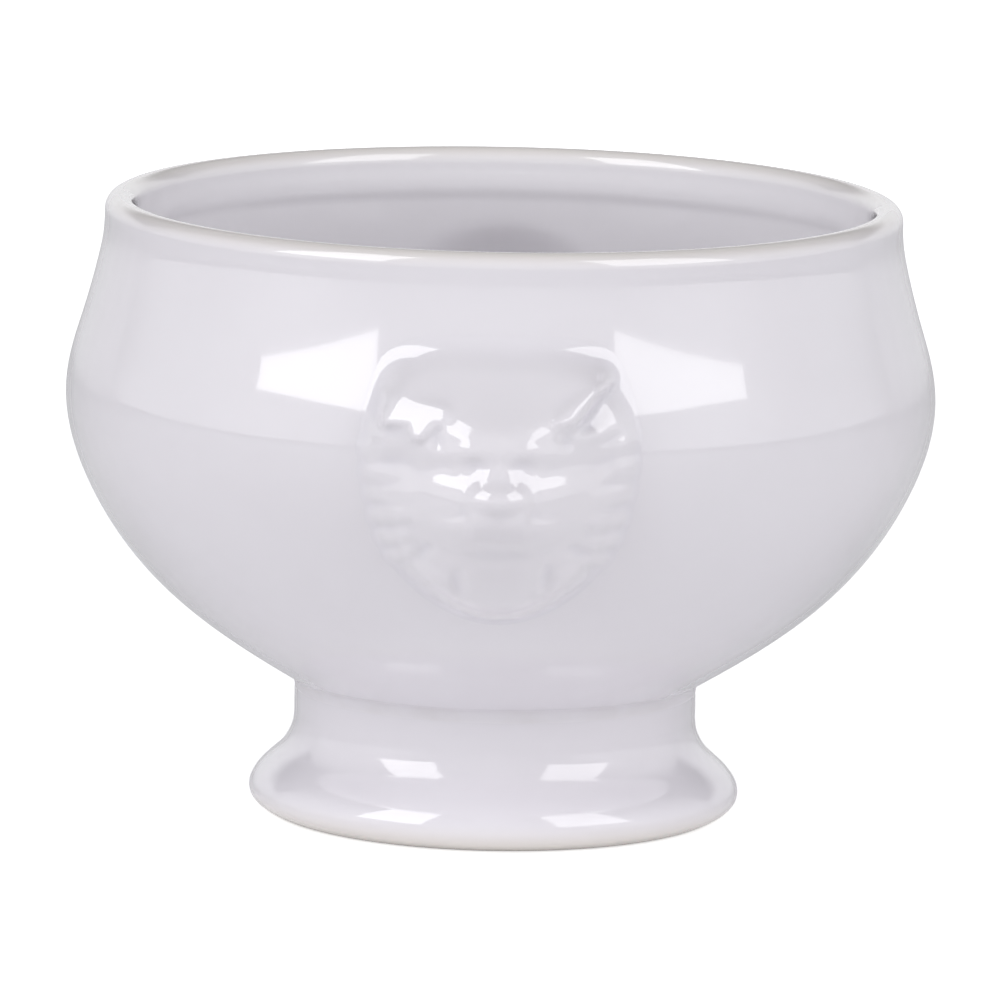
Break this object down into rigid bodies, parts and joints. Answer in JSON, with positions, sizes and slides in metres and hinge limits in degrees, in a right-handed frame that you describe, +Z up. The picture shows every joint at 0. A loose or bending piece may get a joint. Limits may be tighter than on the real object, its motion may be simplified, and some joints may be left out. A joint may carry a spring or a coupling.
{
  "type": "footed soup bowl",
  "caption": "Round white porcelain soup crock with a rounded lip, full belly and flared pedestal foot, and a lion head in relief on its front and back; holds a portion of soup.",
  "frame": {"origin": "centre of the foot's flat bearing ring, on the table", "axes": "+Z up along the bowl's axis, -Y out of the front lion head, +Y out of the rear lion head"},
  "size_m": [0.1334, 0.1564, 0.0952],
  "materials": {
    "glazed_porcelain": "clear gloss glaze on white porcelain, bare on the bearing ring",
    "bare_slip": "fired slip, thinly glazed"
  },
  "bodies": {
    "root": {"bowl": "glazed_porcelain", "pedestal_foot": "glazed_porcelain", "foot_slip_ring": "bare_slip", "front_lion_head": "glazed_porcelain", "rear_lion_head": "glazed_porcelain"}
  },
  "joints": []
}
